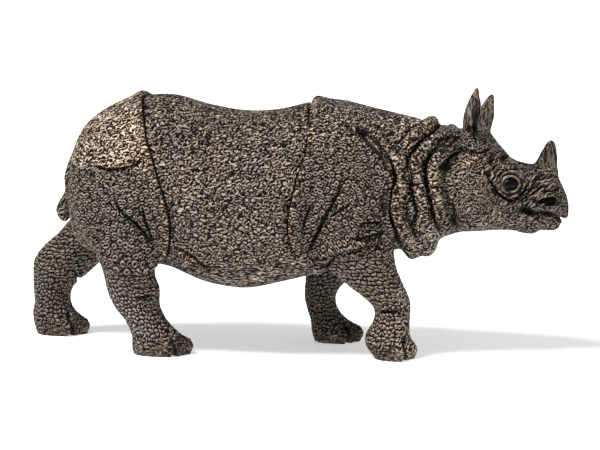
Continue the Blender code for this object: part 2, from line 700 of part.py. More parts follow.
def hide_material():
    """Painted matte plastic."""
    material = bpy.data.materials.new("painted_hide")
    material.use_nodes = True
    shader = material.node_tree.nodes["Principled BSDF"]
    shader.inputs["Base Color"].default_value = HIDE_COLOUR
    shader.inputs["Roughness"].default_value = HIDE_ROUGHNESS
    shader.inputs["Metallic"].default_value = 0.0
    return material


def main():
    for old in list(bpy.data.objects):
        bpy.data.objects.remove(old, do_unlink=True)
    skin = body_skin()
    fold(skin)
    mesh = faceted(skin)
    stand_at_origin(mesh)
    mesh.shade_smooth()
    mesh.materials.append(hide_material())
    figure = bpy.data.objects.new("rhinoceros", mesh)
    collection = bpy.data.collections.new("rhinoceros_figurine")
    bpy.context.scene.collection.children.link(collection)
    collection.objects.link(figure)


main()
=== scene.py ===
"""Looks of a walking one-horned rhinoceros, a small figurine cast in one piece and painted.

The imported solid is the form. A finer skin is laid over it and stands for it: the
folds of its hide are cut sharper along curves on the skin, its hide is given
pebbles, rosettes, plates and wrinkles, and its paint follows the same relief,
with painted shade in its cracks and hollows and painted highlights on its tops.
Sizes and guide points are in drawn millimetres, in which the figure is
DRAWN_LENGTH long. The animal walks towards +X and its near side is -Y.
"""

import math

import bmesh
import bpy
import numpy as np
from mathutils import Matrix, Vector
from mathutils.bvhtree import BVHTree
from mathutils.kdtree import KDTree


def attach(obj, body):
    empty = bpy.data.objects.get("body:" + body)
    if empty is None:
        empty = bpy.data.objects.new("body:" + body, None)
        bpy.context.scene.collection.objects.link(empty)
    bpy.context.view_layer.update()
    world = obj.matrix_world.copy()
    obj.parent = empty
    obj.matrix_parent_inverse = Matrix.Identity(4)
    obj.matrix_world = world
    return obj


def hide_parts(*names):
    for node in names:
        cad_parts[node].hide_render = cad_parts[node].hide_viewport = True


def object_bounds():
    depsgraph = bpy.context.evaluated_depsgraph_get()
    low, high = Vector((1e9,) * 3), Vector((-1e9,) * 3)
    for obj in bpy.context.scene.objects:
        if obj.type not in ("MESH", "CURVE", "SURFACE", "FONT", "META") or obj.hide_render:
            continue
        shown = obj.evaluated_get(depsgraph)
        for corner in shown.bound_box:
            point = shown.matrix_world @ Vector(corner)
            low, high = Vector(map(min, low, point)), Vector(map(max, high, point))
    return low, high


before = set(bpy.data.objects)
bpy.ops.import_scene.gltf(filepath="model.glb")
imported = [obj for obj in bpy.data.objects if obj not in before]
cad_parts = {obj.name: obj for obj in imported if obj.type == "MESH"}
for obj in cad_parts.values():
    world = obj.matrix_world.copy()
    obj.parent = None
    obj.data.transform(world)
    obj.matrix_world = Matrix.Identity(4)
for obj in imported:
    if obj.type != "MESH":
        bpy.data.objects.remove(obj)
LOW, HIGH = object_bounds()

# Drawn millimetres: the figure's length in them, and the middle of its box along
DRAWN_LENGTH = 151.4
DRAWN_MIDDLE = -2.16
MM = (HIGH.x - LOW.x) / DRAWN_LENGTH
DRAWN_FROM_FRAME = Matrix.Translation((DRAWN_MIDDLE, 0, 0)) @ Matrix.Scale(1 / MM, 4)

FINE_CELL = 0.36  # grid of the fine skin before it is thinned
FINER_FROM = 50.0  # forward of this, on the face, the grid is halved
MOST_TRIANGLES = 197000
SOLE = 0.4  # below this height the skin is pressed flat on the floor
COURSE_STEP = 0.4  # between the points of a fold's course
SIDE_FORM_DEPTH = 4.5  # how far in from its centre a form seen from the side still counts

# Folds of the hide: guide points (along, height), seen from the side
RUMP_RIDGE = [
    (-42.9, 69.4), (-42.6, 68.6), (-41.1, 65.6), (-39.6, 61.0), (-38.3, 57.3), (-36.6, 52.6),
    (-35.0, 47.9), (-33.6, 44.0), (-32.5, 40.0), (-32.2, 35.6), (-32.6, 31.5), (-34.1, 27.7),
    (-36.5, 25.3),
]
SHOULDER_RIDGE = [
    (4.1, 67.8), (5.0, 63.1), (4.8, 59.1), (4.4, 55.2), (2.9, 51.2), (1.7, 45.9), (0.8, 41.8),
    (0.4, 38.5), (0.4, 34.9), (0.9, 32.1), (1.8, 29.4), (3.5, 28.1),
]
SHOULDER_LOWER_EDGE = [
    (5.7, 27.7), (10.3, 29.0), (13.1, 30.1), (16.9, 31.0), (21.9, 32.4), (25.5, 33.3), (27.3, 34.7),
]
SHOULDER_FRONT = [
    (19.2, 61.6), (22.9, 58.6), (25.2, 56.6), (26.9, 53.7), (27.5, 51.1), (27.4, 48.0),
    (27.1, 45.8), (26.6, 41.6), (27.0, 38.1), (27.5, 35.8), (27.6, 32.0),
]
LOBE_FRONT = [(3.9, 28.6), (5.2, 30.0), (7.8, 35.0), (9.4, 38.5), (12.4, 43.9), (15.1, 49.7)]
LOBE_INNER = [(6.9, 43.8), (5.0, 39.8), (4.0, 35.2)]
ELBOW_FRONT = [(12.6, 29.2), (9.7, 25.0), (8.6, 20.4)]
SHOULDER_CREASES = [
    [(10.1, 39.4), (12.4, 40.6), (15.1, 42.2), (17.9, 44.1)],
    [(18.7, 38.2), (22.1, 38.0), (25.7, 37.9)],
    [(17.1, 33.1), (20.3, 34.1), (23.6, 34.9), (26.4, 36.1)],
]
NAPE_WELT = [(36.0, 62.9), (35.0, 62.2), (33.3, 61.1), (31.5, 58.9), (29.1, 56.5)]
FIRST_WELT = [
    (18.6, 64.0), (20.7, 62.3), (22.8, 60.1), (26.2, 56.5), (29.4, 53.0), (30.9, 49.5),
    (29.9, 47.4), (28.8, 45.8), (28.0, 43.0), (28.6, 40.1), (29.7, 37.2), (30.6, 34.1), (31.1, 30.5),
]
SECOND_WELT = [
    (42.7, 61.0), (40.9, 60.3), (38.3, 58.8), (35.6, 56.9), (33.9, 54.7), (33.5, 51.6),
    (34.3, 48.4), (35.2, 44.9), (36.2, 41.3), (35.6, 38.4), (34.3, 35.5),
]
CHEEK_WELT = [
    (44.9, 59.5), (42.5, 57.9), (39.8, 55.8), (38.5, 53.5), (38.2, 51.0), (38.8, 47.2),
    (39.5, 43.4), (40.3, 39.7), (41.4, 36.4), (42.5, 34.6),
]
JAW_CREASE = [(42.9, 43.7), (43.5, 41.0), (43.6, 38.3)]
TEMPLE_TOP = [(46.0, 57.7), (47.5, 56.7), (49.7, 56.3), (51.8, 56.5), (53.3, 57.5)]
CHEEK_CREASE = [
    (51.8, 54.1), (51.7, 52.2), (52.3, 50.5), (53.3, 48.4), (54.6, 46.4), (55.8, 44.8),
    (59.0, 43.2), (60.8, 44.6), (62.1, 46.7),
]
SOCKET_REAR = [(54.1, 48.2), (55.4, 50.0), (56.8, 51.2), (58.8, 51.6), (60.9, 50.9)]
FOREHEAD = [
    [(52.0, 52.3), (53.1, 53.8), (54.6, 54.6)],
    [(53.0, 50.9), (54.0, 52.2), (55.3, 53.6)],
    [(52.2, 53.8), (52.8, 54.9), (53.9, 55.4)],
    [(53.5, 57.8), (54.6, 56.1), (56.2, 54.2), (58.3, 52.9)],
]
MUZZLE = [
    [(62.6, 48.9), (62.4, 46.2), (61.1, 44.7), (59.2, 42.9)],
    [(63.6, 46.8), (62.8, 44.8), (61.3, 43.3), (59.5, 42.1)],
    [(61.6, 43.5), (64.3, 45.1), (66.6, 46.6), (69.0, 47.2)],
    [(62.2, 44.4), (63.9, 46.3), (66.0, 47.6)],
    [(66.4, 44.1), (67.6, 45.5), (69.7, 45.7), (71.5, 46.5)],
]
NOSTRIL_LINE = [(64.2, 43.0), (66.0, 42.8), (67.5, 43.3), (69.1, 43.6), (70.5, 42.4)]
RUMP_CROSS = [
    (-54.4, 52.5), (-51.8, 51.8), (-49.1, 51.5), (-46.2, 51.8), (-43.2, 52.5), (-40.7, 53.6),
    (-38.4, 54.5),
]
THIGH_FOLDS = [
    [(-47.3, 44.2), (-46.2, 41.5), (-44.6, 39.4), (-43.0, 38.0), (-40.9, 36.4), (-38.6, 33.3),
     (-36.8, 30.1)],
    [(-39.5, 42.8), (-39.1, 39.2), (-37.9, 35.1), (-36.7, 30.5)],
    [(-54.6, 35.9), (-53.0, 32.7), (-51.1, 30.4)],
]
THIGH_LOWER_EDGE = [
    (-49.3, 25.0), (-46.8, 23.5), (-43.0, 22.7), (-39.7, 23.3), (-37.7, 23.9), (-36.5, 25.3),
]
FAR_THIGH_LOWER_EDGE = [(-72.0, 24.5), (-69.0, 24.0), (-64.5, 23.4), (-60.0, 24.4), (-56.5, 26.6)]
KNEE_CREASE = [(-43.5, 15.9), (-39.9, 16.1), (-37.0, 16.7)]
FAR_KNEE_CREASE = [(-70.0, 15.2), (-66.0, 15.0), (-62.6, 16.4)]
WRIST_CREASE = [(23.0, 13.8), (26.5, 13.4), (30.5, 14.2)]
FAR_WRIST_CREASE = [(1.0, 12.2), (4.5, 11.8), (8.4, 12.4)]
GROIN_FLAP = [(-32.2, 30.1), (-29.8, 28.7), (-27.1, 27.1), (-24.6, 24.8), (-21.5, 23.0)]
MOUTH = [
    (74.3, 36.0), (73.2, 36.5), (71.6, 37.5), (69.2, 39.2), (66.8, 39.7), (63.6, 39.8), (61.3, 41.0),
]
HORN_SEAM = [(63.9, 51.9), (65.4, 50.2), (67.8, 49.2), (70.6, 48.9)]

# Directions in which a fold is raised, and where it runs
FRONT, REAR, UP = (1, 0, 0), (-1, 0, 0), (0, 0, 1)
NEAR, FAR = -1, 1
EACH_SIDE, OVER_THE_BACK = "each side", "over the back"

# Profile, rise, width, share of tan paint, raised side, where it runs, guide points
FOLDS = [
    ("rib", 0.60, 0.75, 1.0, REAR, OVER_THE_BACK, RUMP_RIDGE),
    ("rib", 0.60, 0.75, 1.0, FRONT, OVER_THE_BACK, SHOULDER_RIDGE),
    ("rib", 0.70, 0.80, 0.3, UP, EACH_SIDE, SHOULDER_LOWER_EDGE),
    ("rib", 0.70, 0.80, 0.2, REAR, EACH_SIDE, SHOULDER_FRONT),
    ("welt", 0.85, 1.45, 0.6, FRONT, OVER_THE_BACK, NAPE_WELT),
    ("welt", 0.90, 1.50, 0.5, FRONT, EACH_SIDE, FIRST_WELT),
    ("welt", 0.90, 1.50, 0.2, FRONT, EACH_SIDE, SECOND_WELT),
    ("welt", 1.00, 1.60, 0.3, FRONT, EACH_SIDE, CHEEK_WELT),
    ("cut", 0.70, 0.45, 0.0, FRONT, EACH_SIDE, LOBE_FRONT),
    ("cut", 0.55, 0.45, 0.0, FRONT, EACH_SIDE, LOBE_INNER),
    ("cut", 0.55, 0.45, 0.0, FRONT, EACH_SIDE, ELBOW_FRONT),
    ("cut", 0.70, 0.45, 0.0, FRONT, EACH_SIDE, JAW_CREASE),
    ("cut", 0.60, 0.45, 0.0, FRONT, EACH_SIDE, TEMPLE_TOP),
    ("cut", 0.70, 0.45, 0.0, FRONT, EACH_SIDE, CHEEK_CREASE),
    ("cut", 0.55, 0.40, 0.0, UP, EACH_SIDE, SOCKET_REAR),
    ("rib", 0.55, 0.70, 0.8, UP, EACH_SIDE, RUMP_CROSS),
    ("rib", 0.60, 0.70, 0.2, UP, NEAR, THIGH_LOWER_EDGE),
    ("rib", 0.60, 0.70, 0.2, UP, FAR, FAR_THIGH_LOWER_EDGE),
    ("cut", 0.50, 0.45, 0.0, UP, NEAR, KNEE_CREASE),
    ("cut", 0.50, 0.45, 0.0, UP, FAR, FAR_KNEE_CREASE),
    ("cut", 0.45, 0.45, 0.0, UP, NEAR, WRIST_CREASE),
    ("cut", 0.45, 0.45, 0.0, UP, FAR, FAR_WRIST_CREASE),
    ("welt", 0.45, 0.90, 0.3, UP, EACH_SIDE, GROIN_FLAP),
    ("lips", 0.90, 0.48, 0.0, UP, OVER_THE_BACK, MOUTH),
    ("cut", 0.90, 0.50, 0.0, UP, EACH_SIDE, NOSTRIL_LINE),
    ("cut", 0.25, 0.40, 0.0, UP, EACH_SIDE, HORN_SEAM),
]
FOLDS += [("cut", 0.55, 0.40, 0.0, UP, EACH_SIDE, crease) for crease in SHOULDER_CREASES]
FOLDS += [("cut", 0.60, 0.40, 0.0, FRONT, NEAR, fold) for fold in THIGH_FOLDS]
FOLDS += [("cut", 0.60, 0.36, 0.0, UP, EACH_SIDE, line) for line in FOREHEAD + MUZZLE]
FOLD_TAPER = 2.5  # over which a fold dies away at its ends
FOLD_REACH = 5.0  # how far to its sides a fold may change the skin

# Half the width of the dark line of wash and painted shade in a groove. In a cut it goes with the cut's
# width
RIB_LINE, WELT_LINE, LIPS_LINE, CLEFT_LINE = 0.3, 0.36, 0.75, 0.65
CUT_LINE_SHARE = 0.6

# The eye: centre (along, height) and radii of the ball, its lids and the crease between them
EYE = (58.6, 47.8)
BALL, LID, LID_CREASE, OUTER_LID = 1.5, 2.3, 2.85, 3.35
LID_DRIFT = 0.9  # how far the dark wash and painted shade in that crease wander in and out

# Pits, darkened inside with wash and painted shade: centre (along, height), radii along and up, depth
PITS = {
    "nostril": ((69.1, 42.8), (1.9, 1.15), 1.3),
    "corner of the mouth": ((62.4, 40.5), (2.3, 1.1), 0.6),
    "temple": ((41.2, 52.7), (2.0, 1.4), 0.5),
    "top of the shoulder": ((19.4, 61.4), (1.5, 1.2), 0.5),
    "root of the ear": ((47.5, 62.4), (1.5, 1.0), 0.6),
}

# Forms right across the lower jaw: centre (along, height), radius, rise
JAW_FORMS = {
    "step behind the lip": ((66.3, 33.6), 1.6, -0.7),
    "lower lip": ((70.4, 34.8), 1.6, 0.6),
    "tip of the lip": ((72.6, 36.5), 1.0, -1.0),
}

# Swells of the head: centre, radii along and up, rise, how much lighter with lighter paint and painted
# highlight, share of tan paint
SWELLS = [
    ((55.4, 48.8), (0.8, 0.5), 0.35, 0.9, 0.0),
    ((58.9, 44.9), (1.8, 0.5), 0.30, 0.6, 0.0),
    ((66.6, 44.5), (2.0, 0.9), 0.45, 0.3, 0.5),
    ((70.4, 40.6), (1.3, 0.8), 0.30, 0.6, 0.0),
    ((66.5, 41.6), (2.6, 0.6), 0.30, 0.4, 0.2),
    ((47.2, 53.7), (2.1, 1.6), 0.50, 0.7, 0.6),
    ((43.6, 49.6), (2.0, 2.8), 0.25, 0.4, 0.0),
    ((66.5, 37.9), (3.4, 0.9), 0.30, 0.2, 0.4),
]

# Wrinkles in rings on the head: centre, spacing, middle and radius of the wrinkled patch, strength
RINGS = [
    ((49.3, 40.5), 0.5, (49.3, 40.5), 8.5, 0.5),
    (EYE, 0.62, (56.0, 50.0), 7.5, 0.8),
    ((76.0, 34.0), 0.62, (65.0, 45.5), 6.0, 0.85),
]

# Legs: height, centre along and centre across up the leg, and the height to which their plates reach
LEGS = {
    "near_hind": ([(0.0, -36.4, -13.5), (8.8, -40.2, -13.2), (21.0, -44.8, -13.3)], 23.0),
    "far_hind": (
        [(0.0, -70.1, 13.0), (8.8, -72.0, 13.0), (17.6, -69.4, 13.0), (28.0, -60.4, 12.8)], 30.0,
    ),
    "near_fore": (
        [(0.0, 27.6, -11.5), (12.4, 27.2, -11.4), (24.0, 19.1, -11.4), (28.0, 16.6, -11.8)], 28.5,
    ),
    "far_fore": ([(0.0, 8.6, 12.0), (11.0, 4.2, 12.0), (25.0, 9.5, 12.0), (28.0, 10.2, 11.8)], 28.5),
}
LEG_REACH = 10.5  # from a leg's middle to where it ends
LEG_RADIUS = 7.0  # at which the hide of the legs is unrolled

# Feet: half their length and width, the directions of the nails and of the clefts between the toes
FOOT_SIZES = {
    "near_hind": (8.2, 6.9),
    "far_hind": (7.5, 6.6),
    "near_fore": (6.3, 6.8),
    "far_fore": (6.9, 6.5),
}
NAIL_ANGLES = [math.radians(angle) for angle in (-85, 0, 85)]
NAIL_RADIUS, NAIL_TOP, NAIL_EDGE = 2.9, 3.0, 0.8
CLEFT_ANGLES = [math.radians(angle) for angle in (-52, 52)]
CLEFT_DEPTH, CLEFT_WIDTH, CLEFT_TOP = 1.2, 0.6, 7.5

# Where regions of the hide begin: along the animal, or the height
NECK_FROM, HEAD_FROM, MUZZLE_FROM, HORN_FROM = 27.5, 39.0, 57.0, 62.5
EAR_HEIGHT, HORN_HEIGHT, RUMP_HEIGHT, FOOT_TOP, LOW_FLANK_TOP = 61.0, 50.0, 50.0, 5.5, 46.0

# Line round which the hide is unrolled: along, height, radius
HIDE_AXIS = [
    (-70.0, 43.0, 20.0), (-50.0, 43.0, 24.0), (10.0, 43.0, 24.0), (25.0, 44.5, 20.0),
    (38.0, 46.0, 15.0),
]

# Size of the cells of each kind of texture on the unrolled hide, and of the strands of the horn
PEBBLE = (1.15, 0.95, 1.0)
PLATE = (1.4, 1.1, 1.0)
ROSETTE = (2.15, 2.15, 1.0)
WELT_CELL = (0.7, 1.4, 1.0)
HORN_STRAND = (0.5, 0.5, 4.0)
LOOSE = 0.85  # how irregular the cells are
GRAIN_WAVES = 1.6  # waves of the finest grain a millimetre
STREAK = (2.2, 0.8, 0.8)  # how far the grain is drawn out under the belly
FINER = (0.78, 0.78, 0.78)  # size of the grain of the head
RUN_ON = 0.35  # how much slower a wrinkle changes along its length than across it

# What each region takes, laid over the regions before it. DEPTH: pressed into the skin. BOLD: relief
# of the material. FAINT: lack of contrast in the paint. TONE: how light the paint is, with painted
# light on top of the rump and painted shade on the inner sides of the legs. CELLULAR: share
# of pebbles, plates or strands against the winding grain
FLANK_DEPTH = 0.12
DEPTH = {
    "rosettes": 0.2, "plated": 0.22, "belly": 0.06, "smooth": 0.06, "folds": 0.16, "horn": 0.12,
    "nails": 0.06,
}
BOLD = {"smooth": 0.75, "head": 0.6, "horn": 0.5, "ears": 0.3, "nails": 0.2}
FAINT = {"ears": 0.4, "horn": 0.2, "feet": 0.3, "nails": 0.6}
TONE = {
    "rump": 1.7, "rosettes": 0.73, "plated": 0.76, "shaded inner legs": 0.55, "feet": 0.68, "neck": 1.25,
    "head": 0.72, "muzzle": 0.62, "horn": 0.85, "ears": 1.4,
}
CELLULAR = {
    "rosettes": 0.15, "plated": 0.65, "feet": 0.15, "belly": 0.0, "smooth": 0.0, "folds": 0.35,
    "horn or ears": 1.0,
}

# Paint by the height of the relief: near-black wash and painted shade in the cracks, brown, and
# dry-brushed beige and painted highlight on the tops
PAINT = [
    (0.0, (0.003, 0.002, 0.0015)),
    (0.28, (0.018, 0.013, 0.0095)),
    (0.55, (0.103, 0.080, 0.061)),
    (0.8, (0.235, 0.192, 0.152)),
    (1.0, (0.48, 0.405, 0.328)),
]
WARM, COOL, TAN = (1.04, 0.99, 0.96), (0.99, 0.99, 1.02), (1.25, 1.08, 0.9)
# Colour of the dark wash and painted shade
WASH_AND_SHADE_COLOUR = (0.006, 0.0045, 0.0035, 1.0)
EYE_BLACK = (0.001, 0.0015, 0.002, 1.0)
EMBOSSED = 1.5  # depth of the material's relief
LIT_SIDE_SHIFT = 0.3  # painted highlight on the side of a bump facing the key light, painted shade on the other: lighter where the hide this far above lies lower
GRIT_WAVES, PATCH_WAVES, TINT_WAVES = 2.6, 0.11, 0.07  # of the paint's unevenness, a millimetre

# Rays that find how closed in a place is, for the painted shade in hollows, and how far they start and
# reach
HOLLOW_RAYS = 12
HOLLOW_LIFT = 0.3 * MM
HOLLOW_REACH = 22.0 * MM

# Soft lights: azimuth, elevation, strength, spread. And the strength of the white surround
LIGHTS = {"key": (-50, 60, 3.7, 18), "fill": (60, 35, 0.4, 60)}
SURROUND = 0.29
FLOOR_SIZE, FLOOR_GLOW = 12.0, 0.45

# Camera: angles round the figure, distance and aim in drawn millimetres, pixels a drawn millimetre
AZIMUTH, ELEVATION = math.radians(8.0), math.radians(8.5)
CAMERA_DISTANCE = 900.0
CAMERA_AIM = Vector((0.18, 0.0, 34.1))
PIXELS_A_MM = 3.65
FRAME_WIDTH = 600
SENSOR = 36.0


def smoothstep(value):
    """0 below 0, 1 above 1 and a soft rise between."""
    value = np.clip(value, 0.0, 1.0)
    return value * value * (3 - 2 * value)


def window(value, low, high, soft):
    """1 between low and high, falling to 0 over soft on either side."""
    return smoothstep((value - low) / soft + 0.5) * smoothstep((high - value) / soft + 0.5)


def bell(distance, width):
    """1 at no distance, falling to nearly 0 over twice the width."""
    return np.exp(-((distance / width) ** 2))


def catmull_rom(rows, spacing):
    """The rows as one smooth curve through all of them, a point about every spacing."""
    rows = np.array(rows, float)
    padded = np.vstack([2 * rows[0] - rows[1], rows, 2 * rows[-1] - rows[-2]])
    points = []
    for a, b, c, d in zip(padded, padded[1:], padded[2:], padded[3:]):
        steps = max(1, round(float(np.linalg.norm(c - b)) / spacing))
        for t in np.arange(steps) / steps:
            quadratic = (2 * a - 5 * b + 4 * c - d) * t * t
            cubic = (3 * b - a - 3 * c + d) * t**3
            points.append(0.5 * (2 * b + (c - a) * t + quadratic + cubic))
    points.append(rows[-1])
    return np.array(points)


def carried_out(piece):
    """The object's mesh with its modifiers carried out. The object is removed."""
    bpy.context.view_layer.update()
    graph = bpy.context.evaluated_depsgraph_get()
    made = bpy.data.meshes.new_from_object(piece.evaluated_get(graph))
    bpy.data.objects.remove(piece)
    return made


def as_object(mesh, name):
    """A new object of the scene with the mesh."""
    piece = bpy.data.objects.new(name, mesh)
    bpy.context.scene.collection.objects.link(piece)
    return piece


def fine_skin(node):
    """An even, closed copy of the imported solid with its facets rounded, in drawn millimetres."""
    whole = bmesh.new()
    whole.from_mesh(node.data)
    whole.transform(DRAWN_FROM_FRAME)
    bmesh.ops.remove_doubles(whole, verts=whole.verts, dist=0.001)
    mesh = bpy.data.meshes.new("skin")
    whole.to_mesh(mesh)
    whole.free()
    piece = as_object(mesh, "skin")
    rounded = piece.modifiers.new("rounded", "SUBSURF")
    rounded.levels = 2
    rounded.render_levels = 2
    even = piece.modifiers.new("even", "REMESH")
    even.mode = "VOXEL"
    even.voxel_size = FINE_CELL
    soft = piece.modifiers.new("soft", "SMOOTH")
    soft.factor = 0.5
    soft.iterations = 3
    mesh = carried_out(piece)
    whole = bmesh.new()
    whole.from_mesh(mesh)
    face = [edge for edge in whole.edges if min(v.co.x for v in edge.verts) > FINER_FROM]
    bmesh.ops.subdivide_edges(whole, edges=face, cuts=1, smooth=0.5, use_grid_fill=True)
    whole.to_mesh(mesh)
    whole.free()
    return mesh


class Skin:
    """The vertices of the fine skin, and what is known of each."""

    def __init__(self, mesh):
        self.mesh = mesh
        self.count = len(mesh.vertices)
        self.points = self.read(mesh.vertices, "co")
        self.normals = self.read(mesh.vertex_normals, "vector")
        whole = bmesh.new()
        whole.from_mesh(mesh)
        self.tree = BVHTree.FromBMesh(whole)
        whole.free()
        self.x, self.y, self.z = self.points.T
        # Rise of the folds and forms, and the shares of dark wash with painted shade, of lighter paint
        # with painted highlight, and of tan paint
        self.height = np.zeros(self.count)
        self.wash_and_shade = np.zeros(self.count)
        self.light = np.zeros(self.count)
        self.tan = np.zeros(self.count)
        # Distance from the nearest dark line of wash and painted shade in half widths of it, far at
        # first, its strength and hold
        self.crease = np.full(self.count, 9.0)
        self.creased = np.zeros(self.count)
        self.crease_hold = np.zeros(self.count)
        # Place along and across a welt, and how much of it is here
        self.folded = np.zeros((self.count, 3))

    def read(self, rows, name):
        """A vector of each vertex, from Blender's rows."""
        values = np.empty(self.count * 3)
        rows.foreach_get(name, values)
        return values.reshape(-1, 3)

    def store(self, name, values):
        """Keeps a number or a vector for each vertex, as a named attribute."""
        kind, field = ("FLOAT", "value") if values.ndim == 1 else ("FLOAT_VECTOR", "vector")
        attribute = self.mesh.attributes.new(name, kind, "POINT")
        attribute.data.foreach_set(field, values.astype(np.float32).ravel())

    def place_on_side(self, point, side):
        """The point (along, height), moved sideways onto the skin of one side."""
        along, height = point
        outside = Vector((along, side * DRAWN_LENGTH, height))
        hit = self.tree.ray_cast(outside, Vector((0, -side, 0)))[0]
        return hit or self.tree.find_nearest(Vector((along, 0, height)))[0]

    def courses(self, guide, where):
        """The curves on the skin that a fold follows, one for each of its runs."""
        sides = [NEAR, FAR] if where in (EACH_SIDE, OVER_THE_BACK) else [where]
        runs = [[self.place_on_side(point, side) for point in guide] for side in sides]
        if where == OVER_THE_BACK:
            near, far = runs
            return [far[::-1] + near]
        return runs


# Each profile gives a fold's height, the share of its tan lip, the distance from its groove, and half
# the width of the dark line of wash and painted shade in it, from the offset to the raised side of its
# course


def rib(offset, width):
    """A low rib along the edge of an armour plate, and the groove beside it."""
    lip = bell(offset - 1.1 * width, 1.1 * width)
    from_groove = offset + 0.4 * width
    return lip - 0.8 * bell(from_groove, 0.4 * width), lip, from_groove, RIB_LINE


def welt(offset, width):
    """A round roll of skin between two deep grooves."""
    lip = bell((offset / (1.2 * width)) ** 2, 1.0)
    from_groove = np.abs(offset) - 1.5 * width
    return 0.75 * lip - 0.7 * bell(from_groove, 0.22 * width), lip, from_groove, WELT_LINE


def cut(offset, width):
    """A narrow crease between slightly swollen banks."""
    bank = bell(np.abs(offset) - 1.8 * width, width)
    no_lip = np.zeros(len(offset))
    return 0.45 * bank - bell(offset, width), no_lip, offset, CUT_LINE_SHARE * width


def lips(offset, width):
    """The parted mouth, between a heavy upper lip and a thinner lower one."""
    upper = bell(offset - 2.2 * width, 1.2 * width)
    lower = bell(offset + 1.9 * width, 0.8 * width)
    return 0.6 * upper + 0.5 * lower - 1.5 * bell(offset, width), 0.4 * lower, offset, LIPS_LINE


PROFILES = {"rib": rib, "welt": welt, "cut": cut, "lips": lips}


def note_crease(skin, close, from_groove, half_line, share):
    """Keeps, for the vertices close to a groove, how far they are from its dark line of wash and
    painted shade.
    """
    hold = share * bell(from_groove, 2.0)
    better = hold > skin.crease_hold[close]
    skin.crease_hold[close[better]] = hold[better]
    skin.crease[close[better]] = from_groove[better] / half_line
    skin.creased[close[better]] = share[better]


def carve(skin, course, profile, rise, width, tan, raised):
    """Cuts a fold along the course, and notes its dark line of wash and painted shade, its tan lip and
    its grain.
    """
    course = catmull_rom(course, COURSE_STEP)
    nearest = [skin.tree.find_nearest(Vector(p)) for p in course]
    course = np.array([hit[0] for hit in nearest])
    facing = np.array([hit[1] for hit in nearest])
    tangent = np.gradient(course, axis=0)
    tangent /= np.linalg.norm(tangent, axis=1)[:, None]
    lateral = np.cross(tangent, facing)
    lateral /= np.linalg.norm(lateral, axis=1)[:, None]
    if (lateral @ np.array(raised)).sum() < 0:
        lateral = -lateral
    steps = np.linalg.norm(np.diff(course, axis=0), axis=1)
    travelled = np.concatenate([[0.0], np.cumsum(steps)])
    ends = np.minimum(travelled, travelled[-1] - travelled)
    strength = smoothstep(ends / min(FOLD_TAPER, 0.4 * travelled[-1]))

    finder = KDTree(len(course))
    for index, place in enumerate(course):
        finder.insert(place, index)
    finder.balance()
    low, high = course.min(axis=0) - FOLD_REACH, course.max(axis=0) + FOLD_REACH
    close = np.where(((skin.points > low) & (skin.points < high)).all(axis=1))[0]
    found = [finder.find(skin.points[i]) for i in close]
    index = np.array([hit[1] for hit in found])
    distance = np.array([hit[2] for hit in found])
    away = skin.points[close] - course[index]
    offset = (away * lateral[index]).sum(axis=1)
    agrees = smoothstep((skin.normals[close] * facing[index]).sum(axis=1) / 0.5)
    share = strength[index] * agrees * smoothstep((FOLD_REACH - distance) / (0.5 * FOLD_REACH))

    height, lip, from_groove, half_line = PROFILES[profile](offset, width)
    skin.height[close] += height * rise * share
    skin.tan[close] = np.maximum(skin.tan[close], lip * share * tan)
    note_crease(skin, close, from_groove, half_line, share * min(1.0, rise / 0.5))
    if profile == "welt":
        along = travelled[index] + (away * tangent[index]).sum(axis=1)
        hold = share * smoothstep((2.2 * width - np.abs(offset)) / width)
        better = hold > skin.folded[close, 2]
        laid = np.column_stack([along, offset, hold])
        skin.folded[close[better]] = laid[better]


def seen_from_side(skin, centre, side):
    """Offsets along and up from a place on one side, and 1 where the skin faces that side there."""
    place = skin.place_on_side(centre, side)
    along, across, up = (skin.points - np.array(place)).T
    level = np.abs(across) < SIDE_FORM_DEPTH
    return along, up, level * smoothstep(skin.normals[:, 1] * side / 0.4)


def shape_eye(skin, side):
    """The eyeball, its lids and the folds round them, drawn to a point at the rear."""
    along, up, here = seen_from_side(skin, EYE, side)
    radius = np.hypot(along, up * 1.05)
    drawn = np.hypot(along * np.where(along < 0, 0.8, 1.0), up * 1.1)
    ball = 0.30 * np.sqrt(np.clip(1 - (radius / BALL) ** 2, 0, 1))
    lids = 0.40 * bell(drawn - LID, 0.36) + 0.28 * bell(drawn - OUTER_LID, 0.32)
    grooves = 0.55 * bell(radius - 1.7, 0.25) + 0.45 * bell(drawn - LID_CREASE, 0.2)
    skin.height += (ball + lids - grooves) * here
    # Painted highlight on the lids
    light = 0.5 * bell(drawn - LID, 0.4) + 0.6 * bell(drawn - OUTER_LID, 0.35)
    skin.light = np.maximum(skin.light, light * here)


def shape_pit(skin, centre, radii, depth, side):
    """A rounded hollow, darkened inside with wash and painted shade."""
    along, up, here = seen_from_side(skin, centre, side)
    form = bell((along / radii[0]) ** 2 + (up / radii[1]) ** 2, 1.0) * here
    skin.height -= depth * form
    skin.wash_and_shade = np.maximum(skin.wash_and_shade, np.minimum(1.0, 1.15 * form))


def shape_swell(skin, centre, radii, rise, light, tan, side):
    """A low rounded form, lighter than the skin round it with lighter paint and a painted highlight."""
    along, up, here = seen_from_side(skin, centre, side)
    form = bell(np.hypot(along / radii[0], up / radii[1]), 1.0) * here
    skin.height += rise * form
    skin.light = np.maximum(skin.light, light * form)
    skin.tan = np.maximum(skin.tan, tan * form)


def shape_jaw(skin):
    """Rounds out the lower lip, and draws in the jaw between it and the chin."""
    for (along, up), radius, rise in JAW_FORMS.values():
        skin.height += rise * bell(np.hypot(skin.x - along, skin.z - up), radius)


